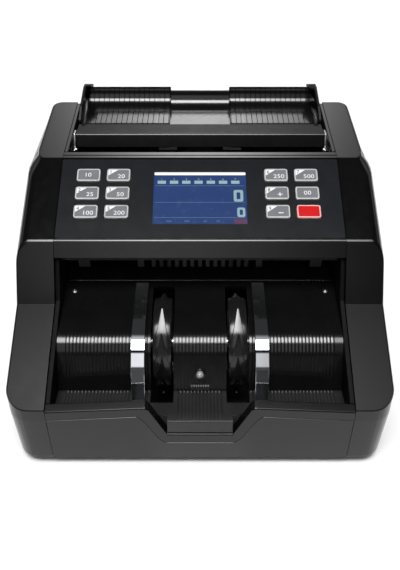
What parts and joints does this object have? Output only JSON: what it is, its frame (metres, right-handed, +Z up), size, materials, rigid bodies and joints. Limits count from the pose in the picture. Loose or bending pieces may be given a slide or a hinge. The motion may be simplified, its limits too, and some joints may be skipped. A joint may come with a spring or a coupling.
{
  "type": "banknote counter",
  "caption": "Front-loading desktop banknote counter: rear hopper, sloping key panel with display, and a front stacker pocket with finned wheels and bright guide strips.",
  "frame": {"origin": "middle of the footprint, on the table under the rubber feet", "axes": "+Z up, -Y out of the front with the finger notch, +X to the right as seen from the front"},
  "size_m": [0.28, 0.28, 0.2014],
  "materials": {
    "black_plastic": "fine textured moulding",
    "gloss_black": "polished ribbed moulding",
    "overlay_film": "satin printed film",
    "clear_window": "clear",
    "display_blue": "lit screen",
    "sensor_lens": "clear lamp",
    "circuit_green": "solder mask",
    "dark_steel": "dark coated sheet",
    "transformer": "varnished laminations",
    "motor_can": "plated can",
    "shaft_steel": "ground",
    "bright_strip": "polished spring steel",
    "brass": "turned",
    "rubber": "matte",
    "belt_rubber": "matte",
    "wheel_rubber": "smooth soft moulding",
    "roller_rubber": "ground rubber on a steel shaft",
    "socket_plastic": "moulded",
    "rocker_plastic": "moulded",
    "key_grey": "printed rubber cap",
    "key_red": "printed rubber cap"
  },
  "bodies": {
    "body": {"base_pan": "dark_steel", "left_side_housing": "black_plastic", "right_side_housing": "black_plastic", "left_frame_plate": "dark_steel", "right_frame_plate": "dark_steel", "front_panel": "black_plastic", "rear_cover": "black_plastic", "control_panel_housing": "black_plastic", "panel_overlay": "overlay_film", "display_window": "clear_window", "display_module": "display_blue", "key_board": "circuit_green", "hopper_scoop": "gloss_black", "left_hopper_cheek": "gloss_black", "right_hopper_cheek": "gloss_black", "hopper_bar": "black_plastic", "retard_pad": "rubber", "drum_guide": "dark_steel", "exit_guide": "dark_steel", "exit_comb": "black_plastic", "stacker_plate": "gloss_black", "stacker_floor": "gloss_black", "left_guide_strip": "bright_strip", "right_guide_strip": "bright_strip", "stacker_sensor": "sensor_lens", "front_left_foot": "rubber", "front_right_foot": "rubber", "rear_left_foot": "rubber", "rear_right_foot": "rubber", "main_board": "circuit_green", "power_supply": "transformer", "power_inlet": "socket_plastic", "switch_frame": "socket_plastic", "main_motor": "motor_can", "motor_belt": "belt_rubber", "stacker_belt": "belt_rubber", "pickup_belt": "belt_rubber", "left_stacker_bush": "brass", "right_stacker_bush": "brass"},
    "drum": {"feed_drum": "rubber", "drum_shaft": "shaft_steel"},
    "stacker": {"stacker_shaft": "shaft_steel", "left_stacker_wheel": "wheel_rubber", "right_stacker_wheel": "wheel_rubber"},
    "pickup": {"pickup_roller_shaft": "roller_rubber"},
    "pinch": {"pinch_roller_shaft": "roller_rubber"},
    "motor_rotor": {"motor_pulley": "shaft_steel"},
    "rocker": {"power_rocker": "rocker_plastic"},
    "button_left_11": {"key_left_11": "key_grey"},
    "button_left_12": {"key_left_12": "key_grey"},
    "button_left_21": {"key_left_21": "key_grey"},
    "button_left_22": {"key_left_22": "key_grey"},
    "button_left_31": {"key_left_31": "key_grey"},
    "button_left_32": {"key_left_32": "key_grey"},
    "button_right_11": {"key_right_11": "key_grey"},
    "button_right_12": {"key_right_12": "key_grey"},
    "button_right_21": {"key_right_21": "key_grey"},
    "button_right_22": {"key_right_22": "key_grey"},
    "button_right_31": {"key_right_31": "key_grey"},
    "button_right_32": {"key_right_32": "key_red"}
  },
  "joints": [
    {"name": "drum_spin", "type": "hinge", "parent": "body", "child": "drum", "pos_m": [0, 0.032, 0.1314], "axis": [1, 0, 0], "continuous": true},
    {"name": "stacker_spin", "type": "hinge", "parent": "body", "child": "stacker", "pos_m": [0, -0.068, 0.0624], "axis": [1, 0, 0], "continuous": true},
    {"name": "pickup_spin", "type": "hinge", "parent": "body", "child": "pickup", "pos_m": [0, 0.072, 0.1529], "axis": [1, 0, 0], "continuous": true},
    {"name": "pinch_spin", "type": "hinge", "parent": "body", "child": "pinch", "pos_m": [0, 0.00445, 0.11064], "axis": [1, 0, 0], "continuous": true},
    {"name": "motor_spin", "type": "hinge", "parent": "body", "child": "motor_rotor", "pos_m": [0, 0.085, 0.0504], "axis": [1, 0, 0], "continuous": true},
    {"name": "rocker_tip", "type": "hinge", "parent": "body", "child": "rocker", "pos_m": [-0.035, 0.116, 0.0414], "axis": [1, 0, 0], "range_deg": [0, 14]},
    {"name": "button_left_11_press", "type": "slide", "parent": "body", "child": "button_left_11", "axis": [0, 0.4799, -0.8773], "range_m": [0, 0.0008], "stiffness_N_per_m": 1500},
    {"name": "button_left_12_press", "type": "slide", "parent": "body", "child": "button_left_12", "axis": [0, 0.4799, -0.8773], "range_m": [0, 0.0008], "stiffness_N_per_m": 1500},
    {"name": "button_left_21_press", "type": "slide", "parent": "body", "child": "button_left_21", "axis": [0, 0.4799, -0.8773], "range_m": [0, 0.0008], "stiffness_N_per_m": 1500},
    {"name": "button_left_22_press", "type": "slide", "parent": "body", "child": "button_left_22", "axis": [0, 0.4799, -0.8773], "range_m": [0, 0.0008], "stiffness_N_per_m": 1500},
    {"name": "button_left_31_press", "type": "slide", "parent": "body", "child": "button_left_31", "axis": [0, 0.4799, -0.8773], "range_m": [0, 0.0008], "stiffness_N_per_m": 1500},
    {"name": "button_left_32_press", "type": "slide", "parent": "body", "child": "button_left_32", "axis": [0, 0.4799, -0.8773], "range_m": [0, 0.0008], "stiffness_N_per_m": 1500},
    {"name": "button_right_11_press", "type": "slide", "parent": "body", "child": "button_right_11", "axis": [0, 0.4799, -0.8773], "range_m": [0, 0.0008], "stiffness_N_per_m": 1500},
    {"name": "button_right_12_press", "type": "slide", "parent": "body", "child": "button_right_12", "axis": [0, 0.4799, -0.8773], "range_m": [0, 0.0008], "stiffness_N_per_m": 1500},
    {"name": "button_right_21_press", "type": "slide", "parent": "body", "child": "button_right_21", "axis": [0, 0.4799, -0.8773], "range_m": [0, 0.0008], "stiffness_N_per_m": 1500},
    {"name": "button_right_22_press", "type": "slide", "parent": "body", "child": "button_right_22", "axis": [0, 0.4799, -0.8773], "range_m": [0, 0.0008], "stiffness_N_per_m": 1500},
    {"name": "button_right_31_press", "type": "slide", "parent": "body", "child": "button_right_31", "axis": [0, 0.4799, -0.8773], "range_m": [0, 0.0008], "stiffness_N_per_m": 1500},
    {"name": "button_right_32_press", "type": "slide", "parent": "body", "child": "button_right_32", "axis": [0, 0.4799, -0.8773], "range_m": [0, 0.0008], "stiffness_N_per_m": 1500}
  ],
  "couplings": [
    {"joint": "stacker_spin", "follows": "drum_spin", "ratio": 0.85714},
    {"joint": "pickup_spin", "follows": "drum_spin", "ratio": 1},
    {"joint": "pinch_spin", "follows": "drum_spin", "ratio": -3.25},
    {"joint": "motor_spin", "follows": "drum_spin", "ratio": 2}
  ]
}
